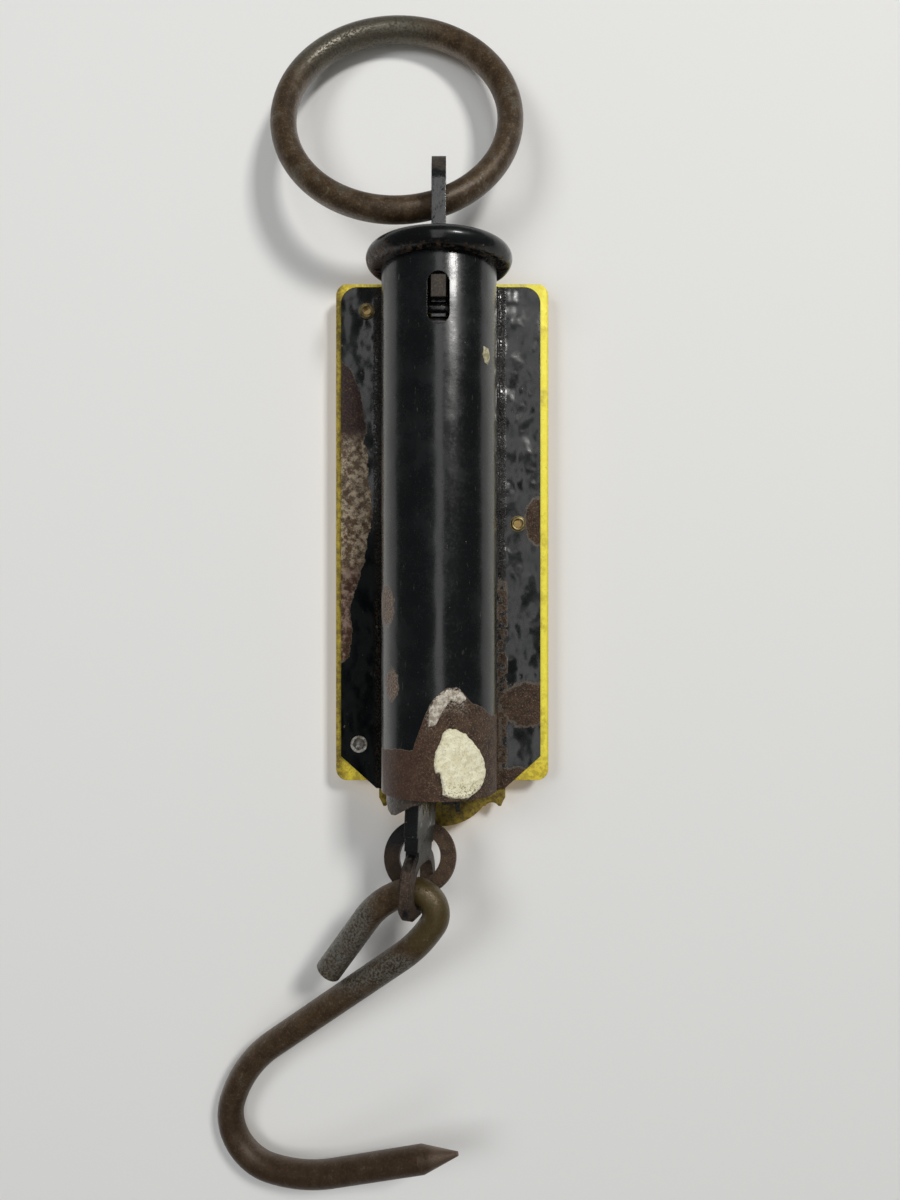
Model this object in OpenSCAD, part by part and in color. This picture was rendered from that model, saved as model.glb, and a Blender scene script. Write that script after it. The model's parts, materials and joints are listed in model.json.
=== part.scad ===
// Flat-faced hanging spring scale.
// The origin is the centre of the hanger's eye, at the top of the tube's axis.
// +Z is up, the brass face looks towards +Y and the round back of the tube towards -Y.
// Every height below is measured down from the eye. Lengths are in millimetres.

/* [Tube and flanges] */
// Outside radius of the half-round back of the tube
tube_r = 13.2; // [12.8:0.1:14]
// Thickness of the pressed steel sheet
sheet = 0.85; // [0.7:0.05:1]
// Distance from the tube's axis to the back of the brass face
face_y = 13; // [12.8:0.1:13.4]
// Distance from the eye down to the top of the tube
tube_top = 16.75; // [16:0.25:18]
// Length of the tube
tube_len = 119; // [116:1:121]
// Half of the width across the two flanges
flange_half = 24.25; // [22:0.25:25]
// Bend radius at the root of each flange, on its outer side
bend_r = 2; // [1:0.25:2.5]

/* [Brass face] */
// Width of the brass face
plate_w = 51.8; // [49:0.2:54]
// Thickness of the brass face
plate_t = 1; // [0.8:0.1:1.2]
// Sideways offset of the brass face on the tube
plate_shift = 0.6; // [0:0.1:1]
// Width of the slot the pointer runs in
slot_w = 4; // [3:0.5:6]
// Number of graduations on each side of the slot
grad_n = 26; // [11,26]
// Depth of the stamped graduations
grad_d = 0.2; // [0.1:0.05:0.3]

/* [Top cap] */
// Radius of the cap's rim
cap_r = 16.8; // [16:0.1:18]
// Radius of the cap's rounded edge, half of its thickness there
cap_edge = 2.4; // [1.5:0.1:2.6]
// Height of the dome over the rim
cap_dome = 1.15; // [0.5:0.05:2]

/* [Hanger] */
// Thickness of the hanger's flat bar
bar_t = 3.2; // [3:0.1:3.3]
// Radius of the hanger's rounded head
head_r = 8.75; // [8.5:0.05:8.8]
// Radius of the eye in the head
eye_r = 5.5; // [5.3:0.1:5.8]

/* [Suspension ring] */
// Mean radius of the ring
ring_r = 27; // [24:0.5:30]
// Radius of the ring's wire
ring_wire = 3.1; // [2.8:0.05:3.2]
// Backward tilt of the ring
ring_tilt = 17.5; // [0:0.5:30]
// How far the ring has slid round in the eye, as an angle
ring_roll = 22; // [0:1:22]

/* [Spring] */
// Mean radius of the coils
coil_r = 10; // [9.9:0.05:10.1]
// Radius of the spring wire
coil_wire = 1.1; // [1:0.05:1.15]
// Free turns between the two screwed-in ends
coil_turns = 8.5; // [8.5]

/* [Draw bar] */
// Half of the shank's width
shank_half = 6.5; // [6:0.25:7]
// Turn of the bar about the tube's axis
bar_twist = 17; // [0:1:20]
// Sideways lean of the bar
bar_lean = 2.9; // [0:0.1:3]
// Travel of the bar from zero to full load
travel = 65; // [40:1:65]
// Half of the lower eye's height
low_eye_r = 5.1; // [5:0.05:5.2]
// Half of the length that the lower eye is drawn out by
low_eye_w = 1.5; // [1.3:0.1:1.7]
// Half of the width of the lobe round the lower eye
lobe_half = 9; // [8.6:0.1:9.2]

/* [Link ring] */
// Outside radius of the flat link ring
link_out = 8.6; // [8:0.1:9]
// Inside radius of the flat link ring
link_in = 5; // [4.5:0.05:5]
// Thickness of the flat link ring
link_t = 1.6; // [1.2:0.1:1.8]
// Backward tilt of the link ring
link_tilt = 18; // [15:1:24]

/* [Load hook] */
// Radius of the hook's wire
hook_wire = 3.175; // [2.8:0.025:3.2]
// Turn of the hook's plane about the vertical
hook_twist = 15.5; // [10:0.5:18]
// Backward tilt of the hook
hook_tilt = 4.3; // [0:0.1:8]
// Length of the cone at the hook's tip
tip_len = 9; // [6:1:14]

/* [Hidden] */
$fn = 64;
e = 0.02;

tube_bot = tube_top + tube_len;
inner_r = tube_r - sheet;
plate_front = face_y + plate_t;

// helix of the spring: turns at each end are opened out for the bars' teeth
end_turns = 1.75;
end_pitch = 3.2;
mid_pitch = 2.4;
coil_top = -27.85;
coil_start = 200;
turns = coil_turns + 2 * end_turns;
function coil_drop(t) =
    t < end_turns ? end_pitch * t
    : t < end_turns + coil_turns ? end_pitch * end_turns + mid_pitch * (t - end_turns)
    : end_pitch * end_turns + mid_pitch * coil_turns + end_pitch * (t - end_turns - coil_turns);
// height of the wire where it passes the bearing a for the k-th time
function pass_t(a, k) = ((a - coil_start + 720) % 360) / 360 + k;
function pass_z(a, k) = coil_top - coil_drop(pass_t(a, k));

// the bar hangs from a point just above its teeth
lean_z = -57.75;
low_eye_z = -157.5;
lobe_corner = 5.2;
lobe_bot = -164.7;
pointer_z = -65.25;
zero_z = pointer_z;

// ---------- shared shapes ----------
// flat shape drawn as (across, height), laid in the plane of the bar, x across its thickness
module upright(t) { rotate([90, 0, 90]) translate([0, 0, -t / 2]) linear_extrude(t) children(); }
// flat shape drawn as (x, height), running from y0 to y0 + t
module facing(y0, t) { translate([0, y0 + t, 0]) rotate([90, 0, 0]) linear_extrude(t) children(); }
// axis along +Y
module along_y() { rotate([-90, 0, 0]) children(); }
module round_slot(w, z_hi, z_lo) {
    translate([-w / 2, z_lo + w / 2]) square([w, z_hi - z_lo - w]);
    translate([0, z_lo + w / 2]) circle(w / 2);
    translate([0, z_hi - w / 2]) circle(w / 2);
}
// puts a flat bar into the leaning, turned place of the draw bar
module bar_place() {
    translate([0, 0, lean_z]) rotate([0, bar_lean, 0]) rotate([0, 0, -bar_twist])
        translate([0, 0, -lean_z]) children();
}

// ---------- brass face ----------
rivet_tl = [-17.7, -22.05];
rivet_mr = [19, -73.75];
rivet_bl = [-19.6, -127.25];
rivet_hole = 1.45;
p_half = plate_w / 2;
p_bot = -136.25;
p_cor = 2.8;
module plate_half_outline() {
    // body with a rounded lower corner
    translate([0, p_bot + p_cor]) square([p_half, 118.25]);
    translate([0, p_bot]) square([p_half - p_cor, p_cor + 1]);
    translate([p_half - p_cor, p_bot + p_cor]) circle(p_cor);
    // shoulder under the scrolled edge
    translate([0, p_bot - 6.3]) square([15.4, 7]);
    // bottom lobe
    intersection() {
        translate([0, -134.75]) circle(12.7);
        translate([0, -150]) square([15, 20]);
    }
}
module plate_outline() {
    intersection() {
        difference() {
            union() { plate_half_outline(); mirror([1, 0]) plate_half_outline(); }
            for (s = [-1, 1]) {
                translate([s * 23.1, -145.45]) circle(9.2);
                translate([s * 12.1, -143.55]) circle(1.9);
                translate([s * 12.1 - 1.9, -150]) square([3.8, 6.45]);
                translate([s * 19 - 5.2, -150]) square([10.4, 6.8]);
            }
        }
        // crowned top edge with rounded corners
        union() {
            translate([0, -64.15]) circle(55.4);
            translate([-40, -160]) square([80, 120]);
        }
        union() {
            translate([-p_half, -160]) square([plate_w, 142]);
            translate([-p_half + 3, -160]) square([plate_w - 6, 155]);
            for (s = [-1, 1]) translate([s * (p_half - 3), -18]) circle(3);
        }
    }
}
function grad_z(i) = zero_z - travel * i / (grad_n - 1);
function grad_l(i) = i % 5 == 0 ? 6.5 : 4;
module face_plate() {
    color("gold") translate([plate_shift, 0, 0]) difference() {
        facing(face_y, plate_t) difference() {
            plate_outline();
            // clearance for the cap's rim
            translate([-11.4 - plate_shift, -17.15]) square([22.8, 20]);
            translate([-plate_shift, 0]) round_slot(slot_w, -62.8, -133.1);
            for (p = [rivet_tl, rivet_mr, rivet_bl])
                translate([p[0] - plate_shift, p[1]]) circle(rivet_hole);
        }
        // stamped graduations on both sides of the slot
        for (i = [0 : grad_n - 1]) for (s = [-1, 1])
            translate([s * (4.2 + grad_l(i) / 2) - plate_shift - grad_l(i) / 2, plate_front - grad_d, grad_z(i) - 0.15])
                cube([grad_l(i), 1, 0.3]);
    }
}

// ---------- pressed steel back ----------
module sheet_half_outer() {
    square([tube_r, face_y]);
    translate([0, face_y - sheet]) square([30, sheet]);
    difference() {
        translate([0, face_y - sheet - bend_r]) square([tube_r + bend_r, bend_r + sheet]);
        translate([tube_r + bend_r, face_y - sheet - bend_r]) circle(bend_r);
    }
}
module sheet_half_inner() {
    square([inner_r, face_y + 1]);
    difference() {
        translate([0, face_y - sheet - bend_r]) square([tube_r + bend_r, bend_r + sheet + 1]);
        translate([tube_r + bend_r, face_y - sheet - bend_r]) circle(bend_r + sheet);
        translate([tube_r + bend_r, -5]) square([9, 30]);
    }
}
module sheet_profile() {
    difference() {
        union() {
            circle(tube_r);
            sheet_half_outer();
            mirror([1, 0]) sheet_half_outer();
        }
        circle(inner_r);
        sheet_half_inner();
        mirror([1, 0]) sheet_half_inner();
    }
}
flange_top = -16.15;
module flange_half_outline() {
    polygon([[0, -138.05], [15.6, -138.05], [flange_half, -130.25], [flange_half, flange_top - 4],
        [flange_half - 4, flange_top - 4], [flange_half - 4, flange_top], [tube_r + 0.2, flange_top], [0, flange_top]]);
    translate([flange_half - 4, flange_top - 4]) circle(4);
}
module shell_outline() {
    difference() {
        translate([0.25, 0]) union() { flange_half_outline(); mirror([1, 0]) flange_half_outline(); }
        translate([-tube_r - e, -150]) square([2 * tube_r + 2 * e, 150 - tube_bot]);
        translate([-tube_r - e, -tube_top]) square([2 * tube_r + 2 * e, 20]);
    }
}
module back_shell() {
    color([0.06, 0.07, 0.08]) difference() {
        intersection() {
            translate([0, 0, -150]) linear_extrude(140) sheet_profile();
            facing(-20, 40) shell_outline();
        }
        // slot in the back for the hanger's lug
        facing(-20, 20) round_slot(4.8, -21.35, -32.75);
        for (p = [rivet_tl, rivet_mr, rivet_bl])
            translate([p[0], 5, p[1]]) along_y() cylinder(r = rivet_hole, h = 12);
    }
}

// ---------- top cap ----------
cap_low = -tube_top;
cap_mid = cap_low + cap_edge;
cap_high = cap_low + 2 * cap_edge + cap_dome;
dome_r = (pow(cap_r - cap_edge, 2) + pow(cap_dome, 2)) / (2 * cap_dome);
module cap_profile() {
    translate([cap_r - cap_edge, cap_mid]) circle(cap_edge);
    intersection() {
        translate([0, cap_low]) square([cap_r - cap_edge, 10]);
        translate([0, cap_high - dome_r]) circle(dome_r, $fn = 256);
    }
    // spigot inside the tube
    translate([0, cap_low - 4]) square([inner_r - 0.15, 4.5]);
}
module top_cap() {
    color([0.05, 0.05, 0.06]) difference() {
        rotate_extrude($fn = 96) intersection() {
            cap_profile();
            translate([0, -60]) square([30, 80]);
        }
        translate([-(bar_t + 0.5) / 2, -head_r - 0.3, -40]) cube([bar_t + 0.5, 2 * head_r + 0.6, 60]);
    }
}

// ---------- bottom guide ----------
guide_t = 0.9;
guide_low = -tube_bot + 0.9;
module guide_flat() {
    difference() {
        union() {
            intersection() { circle(inner_r - 0.05); translate([-20, -20]) square([40, 20]); }
            translate([-inner_r + 0.05, -e]) square([2 * inner_r - 0.1, face_y - 0.9]);
        }
        translate([-7.6, -7.8]) square([11.4, 15.6]);
    }
}
// skirt of the guide, bent down into the shape of a tongue on the near left
module tongue_outline() {
    polygon([[-11.9, guide_low + guide_t], [-11.9, -137.6], [-11.4, -139.4], [-10.6, -140.1], [-9.6, -139.9],
        [-7.4, -138.3], [-5.6, -137.2], [-3.6, -136.6], [-3.2, guide_low + guide_t]]);
}
module bottom_guide() {
    color([0.33, 0.28, 0.25]) union() {
        translate([0, 0, guide_low]) linear_extrude(guide_t) guide_flat();
        intersection() {
            translate([0, 0, -150]) difference() {
                cylinder(r = inner_r - 0.05, h = 150 + guide_low + guide_t);
                translate([0, 0, -1]) cylinder(r = inner_r - 0.95, h = 160);
            }
            facing(-14, 14) tongue_outline();
        }
        // straight lip bent down on the right of the opening
        translate([3.8, -0.5, guide_low - 5.9]) cube([0.9, 8.2, 6.2]);
        translate([0.6, 6.9, guide_low - 5.9]) cube([4.1, 0.8, 5.9]);
    }
}

// ---------- hanger ----------
module hanger_flat() {
    difference() {
        union() {
            circle(head_r);
            translate([-head_r, -26]) square([2 * head_r, 26]);
            translate([-8.3, -34.8]) square([16.6, 9]);
            translate([-10.6, -32.75]) square([21.2, 6.5]);
            // lug that locks in the slot in the tube's back
            translate([-13.4, -27]) square([13.4, 4.8]);
        }
        circle(eye_r);
        // teeth that the spring is screwed on
        for (k = [0, 1]) {
            translate([-coil_r, pass_z(270, k)]) circle(coil_wire + 0.25);
            translate([coil_r, pass_z(90, k)]) circle(coil_wire + 0.25);
        }
    }
}
module hanger() {
    color([0.1, 0.09, 0.08]) upright(bar_t) hanger_flat();
}

// ---------- suspension ring ----------
ring_seat = [0, 0, -1.05];
module suspension_ring() {
    color([0.33, 0.24, 0.19])
        translate(ring_seat) rotate([-ring_tilt, 0, 0]) rotate([0, -ring_roll, 0])
            translate([0, 0, ring_r]) rotate([90, 0, 0])
                rotate_extrude($fn = 128) translate([ring_r, 0]) circle(ring_wire);
}

// ---------- spring ----------
per_turn = 24;
sides = 10;
steps = round(turns * per_turn);
function coil_point(i, j) =
    let (t = i / per_turn, a = coil_start + 360 * t, b = 360 * j / sides,
         r = coil_r + coil_wire * cos(b))
    [r * cos(a), r * sin(a), coil_top - coil_drop(t) + coil_wire * sin(b)];
module spring() {
    color([0.08, 0.08, 0.09]) polyhedron(
        points = [for (i = [0 : steps]) for (j = [0 : sides - 1]) coil_point(i, j)],
        faces = concat(
            [[for (j = [sides - 1 : -1 : 0]) j]],
            [for (i = [0 : steps - 1]) for (j = [0 : sides - 1])
                for (f = [[i * sides + j, i * sides + (j + 1) % sides, (i + 1) * sides + (j + 1) % sides],
                          [i * sides + j, (i + 1) * sides + (j + 1) % sides, (i + 1) * sides + j]]) f],
            [[for (j = [0 : sides - 1]) steps * sides + j]]));
}

// ---------- draw bar ----------
near_a = 270 - bar_twist;
far_a = 90 - bar_twist;
k_last = floor(turns) - 1;
pin_u = 2.6;
pin_r = 1.1;
// lobe round the eye, with a flat end and rounded corners, drawn in by c all round
module lobe_outline(c) {
    intersection() {
        translate([0, low_eye_z]) circle(lobe_half - c);
        translate([-10, low_eye_z - e]) square([20, 20]);
    }
    translate([c - lobe_half, lobe_bot + lobe_corner]) square([2 * (lobe_half - c), low_eye_z - lobe_bot - lobe_corner]);
    translate([lobe_corner - lobe_half, lobe_bot + c]) square([2 * (lobe_half - lobe_corner), 6 - c]);
    for (s = [-1, 1]) translate([s * (lobe_half - lobe_corner), lobe_bot + lobe_corner]) circle(lobe_corner - c);
}
module draw_bar_flat(c) {
    difference() {
        union() {
            translate([-8.3, -62]) square([16.6, 9.2]);
            translate([-10.6, -61.45]) square([21.2, 5.8]);
            polygon([[-10.6, -61.4], [-8.2, -63.2], [-shank_half, -64.2], [shank_half, -64.2], [8.2, -63.2], [10.6, -61.4]]);
            translate([-shank_half, -145.5]) square([2 * shank_half, 82]);
            translate([-5.6, -148.9]) square([11.2, 4]);
            translate([-4.6, -158]) square([9.2, 10]);
            lobe_outline(c);
        }
        // eye, drawn out sideways
        for (s = [-1, 1]) translate([s * low_eye_w, low_eye_z]) circle(low_eye_r);
        translate([-low_eye_w, low_eye_z - low_eye_r]) square([2 * low_eye_w, 2 * low_eye_r]);
        translate([pin_u, pointer_z]) circle(pin_r + 0.05);
        // teeth that the spring is screwed on
        for (k = [k_last - 1 : k_last + 1]) {
            translate([-coil_r, pass_z(near_a, k)]) circle(coil_wire + 0.32);
            translate([coil_r, pass_z(far_a, k)]) circle(coil_wire + 0.32);
        }
    }
}
module draw_bar() {
    // the lobe's edges are hammered thinner in two steps
    color([0.12, 0.1, 0.09]) bar_place() union() {
        upright(bar_t) draw_bar_flat(0.7);
        upright(bar_t - 0.6) draw_bar_flat(0.35);
        upright(bar_t - 1.2) draw_bar_flat(0);
    }
}

// ---------- pointer ----------
ptr_t = 1.2;
ptr_h = 3.6;
bend_u = 6.9;
bend_x = -bar_t / 2 - ptr_t / 2;
// place of the bend in the scale's own frame
bend_c = [(bend_x - 0.14) * cos(bar_twist) + bend_u * sin(bar_twist) - 0.35,
          -(bend_x - 0.14) * sin(bar_twist) + bend_u * cos(bar_twist)];
module pointer() {
    color([0.75, 0.62, 0.3]) difference() {
        union() {
            // tab on the bar's side
            bar_place() translate([bend_x - ptr_t / 2, -0.6, pointer_z - ptr_h / 2]) cube([ptr_t, bend_u + 0.6, ptr_h]);
            // bend, and the stem through the slot
            translate([bend_c[0], bend_c[1], pointer_z - ptr_h / 2]) cylinder(r = 0.72, h = ptr_h);
            translate([bend_c[0] - ptr_t / 2, bend_c[1], pointer_z - ptr_h / 2])
                cube([ptr_t, plate_front + 1 - bend_c[1], ptr_h]);
            // indicator in front of the face
            facing(plate_front + 0.5, 0.9) polygon([[-9.6, pointer_z], [-3, pointer_z - 1.1], [0, pointer_z - 2.1],
                [3, pointer_z - 1.1], [9.6, pointer_z], [3, pointer_z + 1.1], [0, pointer_z + 2.1], [-3, pointer_z + 1.1]]);
        }
        bar_place() translate([-6, pin_u, pointer_z]) rotate([0, 90, 0]) cylinder(r = pin_r + 0.05, h = 6);
    }
}
module pointer_rivet() {
    color([0.7, 0.6, 0.35]) bar_place() translate([0, pin_u, pointer_z]) rotate([0, 90, 0])
        rotate_extrude($fn = 48) union() {
            translate([0, -bar_t / 2 - ptr_t]) square([pin_r, bar_t + ptr_t]);
            translate([0, bar_t / 2]) intersection() { square([2, 0.8]); translate([0, -1.9]) circle(2.7); }
            translate([0, -bar_t / 2 - ptr_t]) mirror([0, 1]) intersection() { square([1.75, 0.8]); translate([0, -1.9]) circle(2.7); }
        }
}

// ---------- fasteners between flanges and face ----------
// tubular eyelet on the axis +Y, from the rolled rim behind the flange to the rim in front of the face
module eyelet() {
    along_y() rotate_extrude($fn = 48) difference() {
        union() {
            translate([0, face_y - sheet - 0.55]) square([1.4, plate_t + sheet + 1.0]);
            translate([1.35, face_y - sheet - 0.42]) circle(0.42, $fn = 24);
            translate([0, face_y - sheet - 0.5]) square([1.9, 0.5]);
            translate([0, plate_front]) square([2.1, 0.45]);
        }
        translate([-1, 0]) square([2, 30]);
    }
}
module face_eyelets() {
    color([0.72, 0.6, 0.28]) for (p = [rivet_tl, rivet_mr]) translate([p[0], 0, p[1]]) eyelet();
}
module clinch_rivet() {
    color([0.6, 0.6, 0.56]) translate([rivet_bl[0], 0, rivet_bl[1]]) along_y() rotate_extrude($fn = 48) difference() {
        union() {
            translate([0, face_y - sheet - 0.5]) square([1.4, plate_t + sheet + 0.95]);
            translate([0, face_y - sheet - 0.5]) square([2.05, 0.5]);
            translate([0, plate_front]) square([2.2, 0.45]);
        }
        // clinched dimple
        translate([0, face_y - sheet - 1.75]) circle(1.9);
    }
}

// ---------- link ring ----------
link_turn = 10;
link_roll = 8;
link_u = 4;
link_drop = -159.3;
link_mean = (link_out + link_in) / 2;
// height link_drop on the leaning bar, at link_u towards the face
bar_x = (lean_z - link_drop) * -tan(bar_lean);
link_seat = [bar_x + link_u * sin(bar_twist), link_u * cos(bar_twist), link_drop];
module link_ring() {
    color([0.4, 0.3, 0.24])
        translate(link_seat) rotate([0, 0, -link_turn]) rotate([-link_tilt, 0, 0]) rotate([0, -link_roll, 0])
            translate([0, 0, link_mean]) rotate([90, 0, 0]) difference() {
                translate([0, 0, -link_t / 2]) cylinder(r = link_out, h = link_t, $fn = 96);
                translate([0, 0, -link_t]) cylinder(r = link_in, h = 2 * link_t, $fn = 96);
            }
}

// ---------- load hook ----------
// the wire's centre line as [length, 0] for a straight and [radius, turn] for an arc;
// a positive turn is clockwise seen from the tube's back
HOOK = [[17.2, 0], [19.4, 39.1], [4.8, 137.5], [33.1, 20.05], [41.8, 0], [34, -34], [12, -101], [36.5, -26], [24, 0]];
hook_start = [-21.8, -21.25, 53.9];
hook_eye_u = -1.9;
hook_eye_z = -158.65;
function arc_end(p, r, t) =
    let (s = t > 0 ? 1 : -1, c = [p[0] + s * r * sin(p[2]), p[1] - s * r * cos(p[2])], h = p[2] - t)
    [c[0] - s * r * sin(h), c[1] + s * r * cos(h), h];
function seg_end(p, g) = g[1] == 0 ? [p[0] + g[0] * cos(p[2]), p[1] + g[0] * sin(p[2]), p[2]] : arc_end(p, g[0], g[1]);
function chain(n) = n == 0 ? hook_start : seg_end(chain(n - 1), HOOK[n - 1]);
// each length of wire stops just short of the next, and a ball joins the two
seg_gap = 0.2;
module wire_seg(p, g) {
    d = g[1] == 0 ? 0 : seg_gap / g[0] * 180 / PI;
    translate([p[0], 0, p[1]]) rotate([0, -p[2], 0]) {
        if (g[1] == 0) translate([seg_gap, 0, 0]) rotate([0, 90, 0]) cylinder(r = hook_wire, h = g[0] - 2 * seg_gap);
        else if (g[1] > 0) translate([0, 0, -g[0]]) rotate([-90, 0, 0]) rotate([0, 0, d - 90])
            rotate_extrude(angle = g[1] - 2 * d) translate([g[0], 0]) circle(hook_wire);
        else translate([0, 0, g[0]]) rotate([90, 0, 0]) rotate([0, 0, d - 90])
            rotate_extrude(angle = -g[1] - 2 * d) translate([g[0], 0]) circle(hook_wire);
    }
}
module wire_ball(p) { translate([p[0], 0, p[1]]) sphere(r = hook_wire + 0.02); }
hook_seat = [(lean_z - hook_eye_z) * -tan(bar_lean) + hook_eye_u * sin(bar_twist),
             hook_eye_u * cos(bar_twist), hook_eye_z];
module load_hook() {
    color([0.34, 0.27, 0.22])
        translate(hook_seat) rotate([0, 0, -hook_twist]) rotate([hook_tilt, 0, 0]) union() {
            for (n = [0 : len(HOOK) - 2]) wire_seg(chain(n), HOOK[n]);
            for (n = [1 : len(HOOK) - 1]) wire_ball(chain(n));
            // last straight, ending in the pointed tip
            translate([chain(len(HOOK) - 1)[0], 0, chain(len(HOOK) - 1)[1]]) rotate([0, -chain(len(HOOK) - 1)[2], 0])
                rotate([0, 90, 0]) rotate_extrude() polygon([[0, seg_gap], [hook_wire, seg_gap],
                    [hook_wire, HOOK[len(HOOK) - 1][0]], [0.5, HOOK[len(HOOK) - 1][0] + tip_len], [0, HOOK[len(HOOK) - 1][0] + tip_len]]);
        }
}

face_plate();
back_shell();
top_cap();
bottom_guide();
hanger();
suspension_ring();
spring();
draw_bar();
pointer();
pointer_rivet();
face_eyelets();
clinch_rivet();
link_ring();
load_hook();
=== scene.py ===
import bpy, json, math
import numpy as np
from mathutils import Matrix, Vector

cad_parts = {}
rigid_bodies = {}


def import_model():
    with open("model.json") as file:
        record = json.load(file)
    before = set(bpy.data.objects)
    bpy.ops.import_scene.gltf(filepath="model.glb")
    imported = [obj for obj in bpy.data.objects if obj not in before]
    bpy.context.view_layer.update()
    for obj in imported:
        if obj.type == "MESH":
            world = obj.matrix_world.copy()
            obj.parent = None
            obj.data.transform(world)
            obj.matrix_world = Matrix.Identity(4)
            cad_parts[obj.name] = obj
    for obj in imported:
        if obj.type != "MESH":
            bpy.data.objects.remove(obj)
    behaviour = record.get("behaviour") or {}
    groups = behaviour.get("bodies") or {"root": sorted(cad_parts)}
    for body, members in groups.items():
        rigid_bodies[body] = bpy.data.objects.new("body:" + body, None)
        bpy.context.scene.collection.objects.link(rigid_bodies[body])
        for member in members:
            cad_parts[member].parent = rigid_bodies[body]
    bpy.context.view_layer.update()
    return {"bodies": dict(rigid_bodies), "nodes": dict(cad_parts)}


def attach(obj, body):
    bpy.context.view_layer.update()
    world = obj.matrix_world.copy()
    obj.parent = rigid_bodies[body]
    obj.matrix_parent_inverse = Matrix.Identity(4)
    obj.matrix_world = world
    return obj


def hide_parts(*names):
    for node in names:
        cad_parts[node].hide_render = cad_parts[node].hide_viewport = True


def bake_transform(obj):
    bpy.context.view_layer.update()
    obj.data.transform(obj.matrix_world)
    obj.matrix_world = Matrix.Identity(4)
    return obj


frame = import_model()
nodes = frame["nodes"]
bodies = frame["bodies"]
scene = bpy.context.scene
scene.view_settings.view_transform = "Standard"
scene.view_settings.look = "None"
rng = np.random.default_rng(7)


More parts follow.
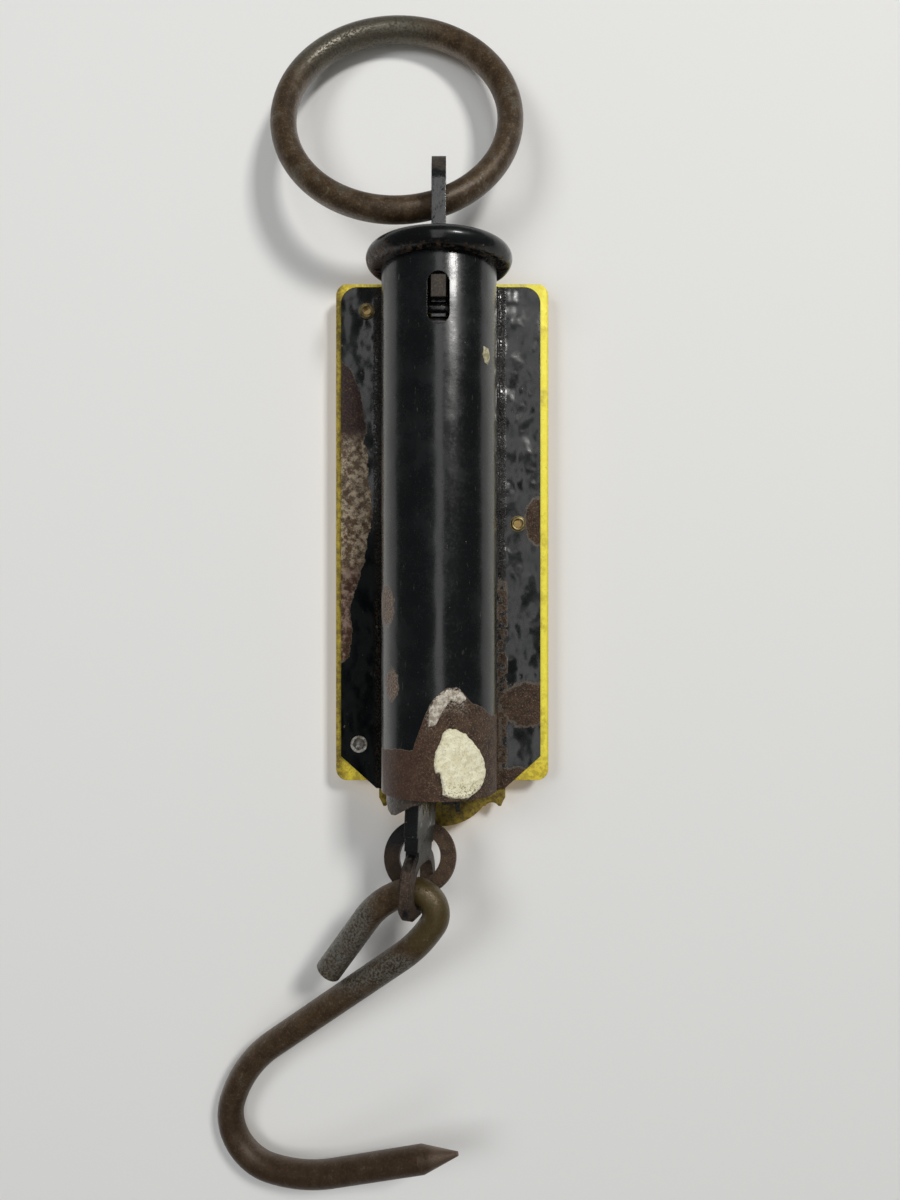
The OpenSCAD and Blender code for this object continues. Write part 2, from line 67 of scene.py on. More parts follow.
# ---------------------------------------------------------------- node graphs
class Graph:
    """A short hand for procedural materials. Positions are the row frame in millimetres."""

    def __init__(self, name):
        self.mat = bpy.data.materials.new(name)
        self.mat.use_nodes = True
        self.nt = self.mat.node_tree
        self.nt.nodes.clear()
        tc = self.nt.nodes.new("ShaderNodeTexCoord")
        self.mm = self.vec("SCALE", tc.outputs["Object"], scale=1000.0)
        sep = self.nt.nodes.new("ShaderNodeSeparateXYZ")
        self.nt.links.new(self.mm, sep.inputs[0])
        self.x, self.y, self.z = sep.outputs[0], sep.outputs[1], sep.outputs[2]
        geo = self.nt.nodes.new("ShaderNodeNewGeometry")
        sn = self.nt.nodes.new("ShaderNodeSeparateXYZ")
        self.nt.links.new(geo.outputs["Normal"], sn.inputs[0])
        self.nx, self.ny, self.nz = sn.outputs[0], sn.outputs[1], sn.outputs[2]

    def put(self, sock, v):
        if isinstance(v, bpy.types.NodeSocket):
            self.nt.links.new(v, sock)
        elif v is not None:
            if hasattr(sock.default_value, "__len__") and not hasattr(v, "__len__"):
                v = (v,) * len(sock.default_value)
            if hasattr(v, "__len__") and len(sock.default_value) == 4 and len(v) == 3:
                v = (*v, 1.0)
            sock.default_value = v

    def vec(self, op, a, b=None, scale=None):
        n = self.nt.nodes.new("ShaderNodeVectorMath")
        n.operation = op
        self.put(n.inputs[0], a)
        if b is not None:
            self.put(n.inputs[1], b)
        if scale is not None:
            self.put(n.inputs["Scale"], scale)
        return n.outputs[0]

    def m(self, op, a, b=None, c=None, clamp=False):
        n = self.nt.nodes.new("ShaderNodeMath")
        n.operation = op
        n.use_clamp = clamp
        for i, v in enumerate((a, b, c)):
            if v is not None:
                self.put(n.inputs[i], v)
        return n.outputs[0]

    def add(self, *v):
        r = v[0]
        for q in v[1:]:
            r = self.m("ADD", r, q)
        return r

    def mul(self, *v):
        r = v[0]
        for q in v[1:]:
            r = self.m("MULTIPLY", r, q)
        return r

    def mx(self, *v):
        r = v[0]
        for q in v[1:]:
            r = self.m("MAXIMUM", r, q)
        return r

    def inv(self, a):
        return self.m("SUBTRACT", 1.0, a, clamp=True)

    def noise(self, scale, detail=4.0, rough=0.55, stretch=None, seed=0.0, dist=0.0):
        v = self.mm
        if stretch is not None:
            v = self.vec("MULTIPLY", v, stretch)
        if seed:
            v = self.vec("ADD", v, (seed * 13.7, seed * 7.3, seed * 3.1))
        n = self.nt.nodes.new("ShaderNodeTexNoise")
        self.put(n.inputs["Vector"], v)
        self.put(n.inputs["Scale"], scale)
        self.put(n.inputs["Detail"], detail)
        self.put(n.inputs["Roughness"], rough)
        self.put(n.inputs["Distortion"], dist)
        return n.outputs[0]

    def cell(self, scale, seed=0.0, stretch=None):
        v = self.mm
        if stretch is not None:
            v = self.vec("MULTIPLY", v, stretch)
        if seed:
            v = self.vec("ADD", v, (seed * 11.1, seed * 5.7, seed * 2.3))
        n = self.nt.nodes.new("ShaderNodeTexVoronoi")
        self.put(n.inputs["Vector"], v)
        self.put(n.inputs["Scale"], scale)
        return n.outputs["Distance"]

    def ss(self, v, lo, hi, to0=0.0, to1=1.0, smooth=True):
        n = self.nt.nodes.new("ShaderNodeMapRange")
        n.interpolation_type = "SMOOTHSTEP" if smooth else "LINEAR"
        n.clamp = True
        self.put(n.inputs["Value"], v)
        self.put(n.inputs["From Min"], lo)
        self.put(n.inputs["From Max"], hi)
        self.put(n.inputs["To Min"], to0)
        self.put(n.inputs["To Max"], to1)
        return n.outputs["Result"]

    def mix(self, f, a, b):
        n = self.nt.nodes.new("ShaderNodeMix")
        n.data_type = "RGBA"
        self.put(n.inputs[0], f)
        self.put(n.inputs[6], a)
        self.put(n.inputs[7], b)
        return n.outputs[2]

    def lerp(self, f, a, b):
        n = self.nt.nodes.new("ShaderNodeMix")
        n.data_type = "FLOAT"
        self.put(n.inputs[0], f)
        self.put(n.inputs[2], a)
        self.put(n.inputs[3], b)
        return n.outputs[0]

    def curve(self, v, pts):
        """value of a curve through pts [(v, out)...]"""
        v0, v1 = pts[0][0], pts[-1][0]
        lo, hi = min(p[1] for p in pts), max(p[1] for p in pts)
        n = self.nt.nodes.new("ShaderNodeFloatCurve")
        c = n.mapping.curves[0]
        q = [((p[0] - v0) / (v1 - v0), (p[1] - lo) / (hi - lo)) for p in pts]
        c.points[0].location, c.points[1].location = q[0], q[-1]
        for p in q[1:-1]:
            c.points.new(*p)
        for p in c.points:
            p.handle_type = "VECTOR"
        n.mapping.update()
        self.put(n.inputs["Value"], self.ss(v, v0, v1, smooth=False))
        return self.ss(n.outputs[0], 0, 1, lo, hi, smooth=False)

    def spot(self, cx, cz, rx, rz, ragged=0.0, edge=0.12):
        """1 inside an ellipse on the x, z view, with a ragged edge"""
        dx = self.m("DIVIDE", self.m("SUBTRACT", self.x, cx), rx)
        dz = self.m("DIVIDE", self.m("SUBTRACT", self.z, cz), rz)
        d = self.m("SQRT", self.add(self.mul(dx, dx), self.mul(dz, dz)))
        return self.ss(self.m("ADD", d, ragged), 1 - edge, 1 + edge, 1, 0)

    def finish(self, color, rough, metal=0.0, height=None, dist=0.1, coat=0.0, spec=0.5, bevel=0.0, coat_rough=0.06):
        p = self.nt.nodes.new("ShaderNodeBsdfPrincipled")
        o = self.nt.nodes.new("ShaderNodeOutputMaterial")
        self.put(p.inputs["Base Color"], color)
        self.put(p.inputs["Roughness"], rough)
        self.put(p.inputs["Metallic"], metal)
        self.put(p.inputs["Specular IOR Level"], spec)
        self.put(p.inputs["Coat Weight"], coat)
        self.put(p.inputs["Coat Roughness"], coat_rough)
        normal = None
        if bevel:
            b = self.nt.nodes.new("ShaderNodeBevel")
            b.samples = 4
            b.inputs["Radius"].default_value = bevel / 1000
            normal = b.outputs[0]
        if height is not None:
            b = self.nt.nodes.new("ShaderNodeBump")
            b.inputs["Strength"].default_value = 1.0
            b.inputs["Distance"].default_value = dist / 1000
            self.put(b.inputs["Height"], height)
            if normal is not None:
                self.put(b.inputs["Normal"], normal)
            normal = b.outputs[0]
        if normal is not None:
            self.put(p.inputs["Normal"], normal)
            if height is not None:
                self.put(p.inputs["Coat Normal"], normal)
        self.nt.links.new(p.outputs[0], o.inputs[0])
        return self.mat


def dress(obj, mat, angle=35.0):
    me = obj.data
    me.materials.clear()
    me.materials.append(mat)
    for p in me.polygons:
        p.use_smooth = True
    me.set_sharp_from_angle(angle=math.radians(angle))


# ---------------------------------------------------------------- materials
def rust_color(g, seed, dark=(0.022, 0.011, 0.006), mid=(0.062, 0.034, 0.018), pale=(0.17, 0.110, 0.068), speck=(0.42, 0.33, 0.26)):
    a = g.noise(0.45, 5, 0.62, seed=seed)
    b = g.noise(2.2, 5, 0.65, seed=seed + 1)
    c = g.mix(g.ss(a, 0.34, 0.62), dark, mid)
    c = g.mix(g.ss(b, 0.5, 0.7), c, pale)
    c = g.mix(g.mul(g.ss(g.noise(4.2, 2, 0.5, seed=seed + 2), 0.64, 0.74), 0.75), c, speck)
    return c, b


def black_paint(g, seed, base=(0.0045, 0.0058, 0.0062)):
    haze = g.noise(0.12, 4, 0.6, seed=seed)
    fine = g.noise(1.3, 5, 0.6, seed=seed + 4)
    col = g.mix(g.ss(haze, 0.42, 0.7), base, (0.0055, 0.0072, 0.0076))
    dust = g.mul(g.ss(fine, 0.60, 0.76), 0.22)
    col = g.mix(dust, col, (0.030, 0.030, 0.027))
    rough = g.add(g.ss(haze, 0.3, 0.8, 0.20, 0.34), g.ss(fine, 0.4, 0.8, 0.0, 0.10))
    return col, rough, fine


def mat_shell():
    g = Graph("black_japan")
    col, rough, fine = black_paint(g, 1, (0.0020, 0.0027, 0.0030))
    n1 = g.noise(0.7, 5, 0.6, seed=11)
    n2 = g.noise(2.6, 4, 0.6, seed=12)
    rag = g.m("MULTIPLY", g.m("SUBTRACT", n1, 0.5), 3.2)
    rag2 = g.m("MULTIPLY", g.m("SUBTRACT", n2, 0.5), 1.3)
    ragged = g.m("ADD", rag, rag2)
    back = g.ss(g.y, 12.1, 11.6)          # tube and crease, not the flange face
    flange = g.ss(g.y, 11.4, 12.0)
    # bare lower end of the tube, with a stepped edge
    edge = g.curve(g.x, [(-26, -125), (-13, -125.8), (-8.9, -124.9), (-5.6, -124.8), (-4.4, -121.4), (-2.9, -117), (-1.8, -114.8), (-0.3, -112.7),
                         (1.9, -111.2), (4.2, -111.2), (6, -113), (6.8, -114.4), (9.1, -115.5), (11.4, -117.8), (14, -118.5), (26, -119)])
    bare = g.ss(g.m("SUBTRACT", g.m("ADD", edge, g.mul(ragged, 0.35)), g.z), -0.15, 0.15)
    bare = g.mul(bare, g.ss(g.x, -13.6, -12.4), g.ss(g.x, 15.6, 13.8))
    # left flange, paint gone along the outer edge
    le = g.curve(g.z, [(-110, -27), (-107.6, -23.8), (-105.9, -22.1), (-100, -21.3), (-93.5, -21.8), (-88.6, -20.1), (-83, -18.4), (-77.7, -17.7),
                       (-74, -16.7), (-66.5, -16.5), (-63.1, -17.4), (-56, -17.4), (-54.3, -18.4), (-50.2, -17.9), (-47.3, -18.4), (-44.1, -18.9),
                       (-41.7, -19.4), (-38.7, -20.6), (-36.1, -21.8), (-34.2, -24), (-32, -27)])
    left = g.ss(g.m("SUBTRACT", g.m("ADD", le, g.mul(ragged, 0.55)), g.x), -0.12, 0.12)
    # right flange patches
    r1 = g.spot(24.4, -73, 3.6, 6.0, g.mul(ragged, 0.16))
    r2 = g.spot(21.5, -117.6, 6.6, 5.4, g.mul(ragged, 0.16))
    r3 = g.spot(18.2, -136.6, 5.6, 3.6, g.mul(ragged, 0.14))
    r4 = g.mul(g.ss(g.m("ABSOLUTE", g.m("SUBTRACT", g.x, 15.2)), 1.5, 0.9), g.ss(n1, 0.46, 0.56), g.ss(g.z, -86, -92))
    # chips on the left of the tube
    c1 = g.spot(-11.6, -93.6, 1.7, 4.4, g.mul(ragged, 0.3))
    c2 = g.spot(-10.3, -111, 1.4, 3.6, g.mul(ragged, 0.35))
    # worn edges of the sheet, small chips all over
    pits = g.mul(g.ss(g.cell(0.42, 3), 0.14, 0.08), g.ss(n1, 0.54, 0.6), flange)
    right = g.mx(r1, r2, r3, r4)
    rust = g.mx(bare, left, right, c1, c2, g.mul(pits, 0.8))
    rc, rb = rust_color(g, 20)
    # tones of each area
    tan = g.mix(g.ss(g.noise(0.55, 6, 0.68, seed=31), 0.42, 0.60), (0.105, 0.070, 0.044), (0.38, 0.31, 0.22))
    crack = g.ss(g.m("ABSOLUTE", g.m("SUBTRACT", g.noise(0.4, 5, 0.6, seed=33), 0.5)), 0.02, 0.0)
    tan = g.mix(g.mul(crack, 0.75), tan, (0.018, 0.011, 0.008))
    purple = g.mix(g.ss(rb, 0.4, 0.65), (0.018, 0.011, 0.011), (0.060, 0.036, 0.030))
    pink = g.mix(g.ss(g.noise(0.5, 6, 0.66, seed=35), 0.42, 0.6), (0.055, 0.030, 0.021), (0.23, 0.165, 0.13))
    lc = g.mix(g.ss(g.z, -56, -50), tan, purple)
    lc = g.mix(g.ss(g.z, -80, -88), lc, pink)
    lc = g.mix(g.mul(g.ss(n1, 0.5, 0.62), 0.7), lc, rc)
    rust_c = g.mix(left, rc, lc)
    rust_c = g.mix(g.mx(c1, c2), rust_c, g.mix(g.ss(n2, 0.4, 0.6), (0.075, 0.05, 0.038), (0.22, 0.165, 0.125)))
    rust_c = g.mix(g.mul(g.ss(g.x, 2, -6), bare, 0.6), rust_c, g.mix(rb, (0.030, 0.013, 0.009), (0.085, 0.042, 0.026)))
    # pale crust along the top of the bare end
    d = g.m("SUBTRACT", edge, g.z)
    crust = g.mul(bare, g.ss(d, 6.5, 0.5), g.ss(g.m("ABSOLUTE", g.m("SUBTRACT", g.x, 1.6)), 5.2, 2.6), g.ss(n2, 0.47, 0.56))
    rust_c = g.mix(crust, rust_c, g.mix(n1, (0.34, 0.30, 0.24), (0.62, 0.58, 0.5)))
    # dark crusty strips where tube and flange meet
    strip = g.mul(g.ss(g.m("ABSOLUTE", g.m("SUBTRACT", g.m("ABSOLUTE", g.x), 14.7)), 1.6, 0.6), g.ss(n2, 0.44, 0.56), 0.75)
    col = g.mix(strip, col, g.mix(n1, (0.010, 0.008, 0.006), (0.055, 0.042, 0.030)))
    # light rim of bare metal along the paint's broken edge
    lip = g.mul(g.ss(rust, 0.02, 0.3), g.ss(rust, 0.98, 0.6), 0.55)
    col = g.mix(rust, col, rust_c)
    col = g.mix(g.mul(lip, 0.6), col, (0.24, 0.20, 0.15))
    # scratches and specks
    scr = g.mul(g.ss(g.noise(0.9, 2, 0.4, stretch=(5.0, 5.0, 0.3), seed=41), 0.70, 0.73), g.ss(n1, 0.52, 0.6), g.inv(rust))
    spk = g.mul(g.ss(g.cell(0.8, 8), 0.10, 0.06), g.ss(g.noise(0.3, 3, 0.5, seed=43), 0.6, 0.66), g.inv(rust))
    col = g.mix(g.mx(g.mul(scr, 0.35), g.mul(spk, 0.6)), col, (0.16, 0.15, 0.13))
    rough = g.lerp(rust, rough, 0.72)
    rough = g.m("ADD", rough, g.mul(strip, 0.3), clamp=True)
    # paint film stands proud of the bare steel; dents and ripples in the pressed sheet
    ripple = g.mul(g.noise(0.13, 1, 0.4, seed=51), g.lerp(flange, 0.5, 2.4))
    lumps = g.mul(g.m("POWER", g.noise(0.30, 0.6, 0.4, seed=52), 2.0), flange, 1.1)
    h = g.add(g.mul(ripple, 1.0), lumps, g.mul(g.inv(rust), 0.30), g.mul(fine, 0.03), g.mul(rust, rb, 0.5), g.mul(crust, 0.5), g.mul(strip, n2, 0.55),
              g.mul(scr, -0.08), g.mul(g.noise(5.5, 3, 0.6, seed=55), rust, 0.16))
    # the lower left flange hardly catches the light
    quiet = g.mul(flange, g.ss(g.x, -12, -14), g.ss(g.m("ADD", g.z, ragged), -66, -78))
    spec = g.lerp(quiet, 0.42, 0.05)
    coat = g.mul(g.inv(rust), g.inv(strip), g.inv(quiet), 0.3)
    return g.finish(col, rough, 0.0, h, 0.42, coat=coat, bevel=0.18, coat_rough=0.13, spec=spec)


def mat_cap():
    g = Graph("cap_black")
    col, rough, fine = black_paint(g, 3, (0.003, 0.0033, 0.0036))
    n1 = g.noise(0.8, 5, 0.62, seed=61)
    rim = g.mul(g.ss(g.z, -15.6, -16.6), g.ss(n1, 0.50, 0.58))
    chip = g.mul(g.ss(g.cell(0.4, 5), 0.12, 0.07), g.ss(n1, 0.54, 0.6))
    lowleft = g.mul(g.ss(g.x, -9.5, -13), g.ss(g.z, -14, -15.5), g.ss(n1, 0.42, 0.52))
    bare = g.mx(rim, chip, lowleft)
    rc, rb = rust_color(g, 62, pale=(0.12, 0.09, 0.068))
    col = g.mix(bare, col, rc)
    h = g.add(g.mul(g.noise(0.16, 1, 0.4, seed=63), 1.3), g.mul(g.inv(bare), 0.3), g.mul(fine, 0.03), g.mul(rb, bare, 0.4))
    return g.finish(col, g.lerp(bare, rough, 0.7), 0.0, h, 0.35, coat=g.mul(g.inv(bare), 0.25), coat_rough=0.08, spec=0.25)


def mat_brass():
    g = Graph("brass_face")
    n1 = g.noise(0.16, 5, 0.6, seed=70)
    n2 = g.noise(1.1, 5, 0.65, seed=71)
    n3 = g.noise(5.0, 3, 0.6, seed=72, stretch=(1, 1, 0.25))
    bright = g.mix(g.ss(n2, 0.4, 0.66), (0.93, 0.80, 0.06), (0.99, 0.92, 0.09))
    gold = g.mix(g.ss(n2, 0.4, 0.62), (0.42, 0.29, 0.012), (0.80, 0.62, 0.035))
    west = g.mx(g.ss(g.m("ADD", g.x, g.mul(g.m("SUBTRACT", n1, 0.5), 10)), 6, -16), g.ss(g.m("ADD", g.z, g.mul(g.m("SUBTRACT", n1, 0.5), 12)), -124, -134))
    outer = g.ss(g.m("ADD", g.m("ABSOLUTE", g.m("SUBTRACT", g.x, 0.6)), g.mul(g.m("SUBTRACT", n2, 0.5), 1.6)), 25.2, 25.9)
    bright = g.mix(g.mx(g.mul(west, 0.8), g.mul(outer, 0.75), g.mul(g.ss(n1, 0.5, 0.62), 0.35)), bright, gold)
    dull = g.mix(g.ss(n2, 0.36, 0.62), (0.040, 0.024, 0.004), (0.21, 0.14, 0.012))
    # duller, darker brass at the bottom, along the left edge and in random patches
    low = g.mul(g.ss(g.m("ADD", g.z, g.mul(g.m("SUBTRACT", n1, 0.5), 4)), -136.2, -138.5), g.ss(g.x, 24, 17))
    side = g.ss(g.m("ADD", g.x, g.mul(g.m("SUBTRACT", n1, 0.5), 8)), -21.5, -25.0)
    dull_areas = g.mx(g.mul(low, 0.9), g.mul(side, 0.8), g.mul(g.ss(n1, 0.55, 0.75), 0.3))
    edge = g.mul(g.ss(n2, 0.58, 0.70), 0.3)
    # the front keeps an even warm polish with tarnish near the rim and the slot
    front = g.ss(g.ny, 0.4, 0.9)
    warm = g.mix(g.ss(n1, 0.4, 0.66), (0.62, 0.43, 0.13), (0.36, 0.235, 0.075))
    near = g.mx(g.ss(g.m("ABSOLUTE", g.m("SUBTRACT", g.x, 0.6)), 22.5, 25.8), g.mul(g.ss(g.m("ABSOLUTE", g.x), 3.6, 2.0), g.ss(g.z, -60, -64), g.ss(g.z, -136, -133), 0.7))
    warm = g.mix(g.mul(near, g.ss(n2, 0.38, 0.62), 0.8), warm, (0.10, 0.062, 0.024))
    warm = g.mix(g.mul(g.ss(g.cell(0.35, 6), 0.16, 0.07), g.ss(n2, 0.5, 0.6), 0.8), warm, (0.05, 0.034, 0.018))
    col = g.mix(g.mx(dull_areas, edge), bright, dull)
    col = g.mix(front, col, warm)
    # black wax left in the stamped lines
    groove = g.mul(front, g.ss(g.y, 13.93, 13.87), g.ss(g.m("ABSOLUTE", g.x), 12, 11))
    col = g.mix(groove, col, (0.012, 0.010, 0.008))
    rough = g.add(0.30, g.mul(g.mx(dull_areas, edge), 0.3), g.mul(groove, 0.3), g.mul(n2, 0.1))
    metal = g.lerp(front, 0.12, g.lerp(groove, 0.88, 0.0))
    h = g.add(g.mul(g.noise(0.2, 2, 0.5, seed=74), 0.9), g.mul(n3, 0.06), g.mul(n2, 0.1))
    return g.finish(col, rough, metal, h, 0.22, bevel=0.2)


def mat_steel(name, seed, dark, mid, pale, plate=None, plate_mask=None, rough0=0.4, metal=0.35, pit=0.5, dist=0.22, bevel=0.0, speck=(0.30, 0.24, 0.19)):
    """rusted or brown-patinated iron, with what is left of a plating or paint where plate_mask says"""
    g = Graph(name)
    a = g.noise(0.3, 5, 0.62, seed=seed)
    b = g.noise(1.9, 6, 0.66, seed=seed + 1)
    f = g.noise(6.5, 3, 0.6, seed=seed + 2)
    col = g.mix(g.ss(a, 0.36, 0.64), dark, mid)
    col = g.mix(g.mul(g.ss(b, 0.48, 0.68), 0.85), col, pale)
    col = g.mix(g.mul(g.ss(f, 0.63, 0.74), 0.6), col, speck)
    pits = g.mul(g.ss(g.cell(0.95, seed), 0.22, 0.08), g.ss(b, 0.46, 0.56))
    col = g.mix(g.mul(pits, 0.75), col, tuple(v * 0.45 for v in dark))
    rough = g.add(rough0, g.mul(b, 0.25), g.mul(pits, 0.1))
    h = g.add(g.mul(a, 0.8), g.mul(b, pit), g.mul(f, 0.10), g.mul(pits, -0.55))
    met = metal
    if plate is not None:
        k = plate_mask(g, a, b)
        col = g.mix(k, col, g.mix(g.ss(b, 0.4, 0.65), plate[0], plate[1]))
        rough = g.lerp(k, rough, plate[2])
        met = g.lerp(k, metal, plate[3])
        h = g.add(h, g.mul(k, 0.28))
    return g.finish(col, rough, met, h, dist, bevel=bevel)


def mask_ring(g, a, b):
    top = g.mul(g.ss(g.x, 3, -9), g.ss(g.z, 30, 41))
    spots = g.ss(g.m("ADD", a, g.mul(b, 0.5)), 0.80, 0.93)
    return g.m("MULTIPLY", g.mx(g.mul(top, g.ss(b, 0.34, 0.5)), g.mul(spots, 0.7)), 0.85)


def mask_hook(g, a, b):
    end = g.mul(g.ss(g.x, -13, -18), g.ss(g.z, -186, -178), g.ss(b, 0.40, 0.52))
    shank = g.mul(g.spot(-10.5, -177, 7.5, 5.0, g.mul(g.m("SUBTRACT", b, 0.5), 0.8), 0.3), g.ss(b, 0.42, 0.56))
    rest = g.mul(g.ss(g.m("ADD", a, g.mul(b, 0.5)), 0.86, 0.98), 0.5)
    return g.mul(g.mx(end, shank, rest), 0.8)


def mat_hook():
    g = Graph("hook_steel")
    a = g.noise(0.3, 5, 0.62, seed=101)
    b = g.noise(1.9, 6, 0.66, seed=102)
    f = g.noise(6.5, 3, 0.6, seed=103)
    col = g.mix(g.ss(a, 0.36, 0.64), (0.040, 0.022, 0.009), (0.072, 0.044, 0.021))
    col = g.mix(g.mul(g.ss(b, 0.48, 0.68), 0.8), col, (0.125, 0.080, 0.042))
    eye = g.spot(-1.5, -162, 7.5, 10.5, g.mul(g.m("SUBTRACT", a, 0.5), 0.8), 0.35)
    col = g.mix(g.mul(eye, 0.85), col, g.mix(b, (0.052, 0.036, 0.010), (0.105, 0.076, 0.028)))
    k = mask_hook(g, a, b)
    col = g.mix(k, col, g.mix(g.ss(b, 0.4, 0.65), (0.075, 0.075, 0.062), (0.17, 0.17, 0.15)))
    col = g.mix(g.mul(g.ss(f, 0.63, 0.74), 0.5), col, (0.22, 0.17, 0.13))
    low = g.ss(g.z, -205, -222)
    col = g.mix(g.mul(low, 0.55), col, g.mix(b, (0.022, 0.011, 0.005), (0.056, 0.032, 0.017)))
    pits = g.mul(g.ss(g.cell(0.95, 9), 0.22, 0.08), g.ss(b, 0.46, 0.56))
    col = g.mix(g.mul(pits, 0.7), col, (0.014, 0.009, 0.006))
    tip = g.mul(g.ss(g.x, -3.5, -0.5), g.ss(g.z, -214, -218.5))
    col = g.mix(g.mul(tip, 0.7), col, (0.125, 0.088, 0.062))
    rough = g.add(0.33, g.mul(b, 0.25), g.mul(eye, -0.07))
    h = g.add(g.mul(a, 0.8), g.mul(b, 0.45), g.mul(f, 0.1), g.mul(pits, -0.5), g.mul(k, 0.2))
    return g.finish(col, rough, 0.35, h, 0.22)


def mat_bar():
    g = Graph("bar_iron")
    col, rough, fine = black_paint(g, 5, (0.003, 0.0032, 0.0034))
    n1 = g.noise(0.6, 5, 0.62, seed=81)
    n2 = g.noise(2.4, 5, 0.62, seed=82)
    rag = g.mul(g.m("SUBTRACT", n1, 0.5), 8.0)
    lower = g.ss(g.m("ADD", g.z, rag), -150.0, -153.5)
    # grey on the faces turned to +X is a painted reflection; those faces also count as bare metal for roughness, metal
    # and coat
    side = g.mul(g.ss(g.nx, 0.55, 0.85), g.ss(g.z, -139, -143), g.ss(n1, 0.40, 0.5))
    rc, rb = rust_color(g, 83, dark=(0.030, 0.018, 0.012), mid=(0.060, 0.040, 0.027), pale=(0.115, 0.082, 0.060), speck=(0.22, 0.17, 0.13))
    painted_reflection_grey = g.mix(n2, (0.016, 0.017, 0.013), (0.075, 0.078, 0.064))
    col = g.mix(side, col, painted_reflection_grey)
    col = g.mix(lower, col, rc)
    chips = g.mul(g.ss(g.cell(0.7, 4), 0.15, 0.08), g.ss(n1, 0.5, 0.58))
    col = g.mix(g.mul(chips, 0.7), col, (0.09, 0.07, 0.055))
    pit = g.mul(g.spot(-7.4, -162.6, 0.75, 2.0, g.mul(g.m("SUBTRACT", n2, 0.5), 0.5), 0.3), g.ss(g.ny, -0.5, -0.8))
    col = g.mix(pit, col, (0.004, 0.003, 0.003))
    bare = g.mx(lower, g.mul(side, 0.7))
    h = g.add(g.mul(g.noise(0.3, 3, 0.5, seed=84), 1.2), g.mul(g.inv(bare), 0.3), g.mul(rb, bare, 0.45), g.mul(fine, 0.07), g.mul(pit, -1.4))
    return g.finish(col, g.lerp(bare, rough, 0.6), g.mul(bare, 0.25), h, 0.24, coat=g.mul(g.inv(bare), 0.6), bevel=0.35, coat_rough=0.07)


def mat_hanger():
    g = Graph("hanger_iron")
    col, rough, fine = black_paint(g, 6, (0.003, 0.0032, 0.0034))
    n1 = g.noise(0.7, 5, 0.62, seed=91)
    rag = g.mul(g.m("SUBTRACT", n1, 0.5), 6.0)
    top = g.ss(g.m("ADD", g.z, rag), 2.2, 3.6)
    lug = g.ss(g.y, -12.4, -12.9)
    bare = g.mx(top, lug)
    rc, rb = rust_color(g, 92, dark=(0.018, 0.013, 0.009), mid=(0.040, 0.030, 0.022), pale=(0.085, 0.066, 0.050), speck=(0.16, 0.13, 0.10))
    col = g.mix(bare, col, rc)
    h = g.add(g.mul(g.noise(0.3, 3, 0.5, seed=94), 1.3), g.mul(g.inv(bare), 0.3), g.mul(rb, bare, 0.4), g.mul(fine, 0.07))
    return g.finish(col, g.lerp(bare, rough, 0.58), g.mul(bare, 0.3), h, 0.24, coat=g.mul(g.inv(bare), 0.6), bevel=0.3, coat_rough=0.07)


def mat_link():
    g = Graph("link_iron")
    rc, rb = rust_color(g, 110, dark=(0.030, 0.016, 0.008), mid=(0.066, 0.038, 0.019), pale=(0.105, 0.062, 0.032), speck=(0.34, 0.23, 0.13))
    n1 = g.noise(0.6, 5, 0.62, seed=111)
    k = g.mul(g.ss(g.m("ADD", g.x, g.mul(g.m("SUBTRACT", n1, 0.5), 5)), -5.8, -7.2), g.ss(g.z, -153, -149))
    left = g.ss(g.x, -5.5, -8.5)
    col = g.mix(g.mul(left, 0.55), rc, (0.036, 0.028, 0.022))
    col = g.mix(k, col, (0.004, 0.004, 0.0045))
    h = g.add(g.mul(rb, 0.6), g.mul(g.noise(5.0, 3, 0.6, seed=112), 0.2), g.mul(n1, 0.6), g.mul(k, 0.3))
    return g.finish(col, g.lerp(k, g.add(0.42, g.mul(rb, 0.3)), 0.2), g.lerp(k, 0.25, 0.0), h, 0.26, bevel=0.3)


def mat_guide():
    g = Graph("guide_steel")
    rc, rb = rust_color(g, 120, dark=(0.022, 0.017, 0.014), mid=(0.058, 0.044, 0.034), pale=(0.12, 0.095, 0.075), speck=(0.3, 0.25, 0.2))
    lip = g.mul(g.ss(g.x, 0.2, 0.8), g.ss(g.z, -134.9, -135.3))
    col = g.mix(lip, rc, (0.004, 0.004, 0.0045))
    h = g.add(g.mul(rb, 0.6), g.mul(g.noise(0.5, 4, 0.6, seed=121), 0.8))
    return g.finish(col, g.lerp(lip, 0.6, 0.25), 0.15, h, 0.25, bevel=0.2)


def mat_spring():
    g = Graph("spring_steel")
    n1 = g.noise(0.9, 5, 0.6, seed=130)
    n2 = g.noise(3.2, 4, 0.6, seed=131)
    col = g.mix(g.ss(n1, 0.45, 0.62), (0.006, 0.006, 0.0065), (0.030, 0.026, 0.023))
    col = g.mix(g.mul(g.ss(n2, 0.56, 0.7), g.ss(n1, 0.48, 0.6)), col, (0.090, 0.052, 0.032))
    h = g.add(g.mul(n1, 0.7), g.mul(n2, 0.2))
    return g.finish(col, g.add(0.16, g.mul(n2, 0.24)), 0.35, h, 0.12, coat=0.4)


def mat_yellow(name, seed, clean, tarn, metal=0.8, rough0=0.25, bevel=0.12):
    g = Graph(name)
    n1 = g.noise(0.8, 4, 0.6, seed=seed)
    n2 = g.noise(3.0, 4, 0.6, seed=seed + 1)
    col = g.mix(g.ss(n1, 0.42, 0.62), clean, tarn)
    col = g.mix(g.mul(g.ss(n2, 0.56, 0.7), 0.7), col, tuple(v * 0.3 for v in tarn))
    h = g.add(g.mul(n1, 0.5), g.mul(n2, 0.2))
    return g.finish(col, g.add(rough0, g.mul(n2, 0.3)), metal, h, 0.12, bevel=bevel)


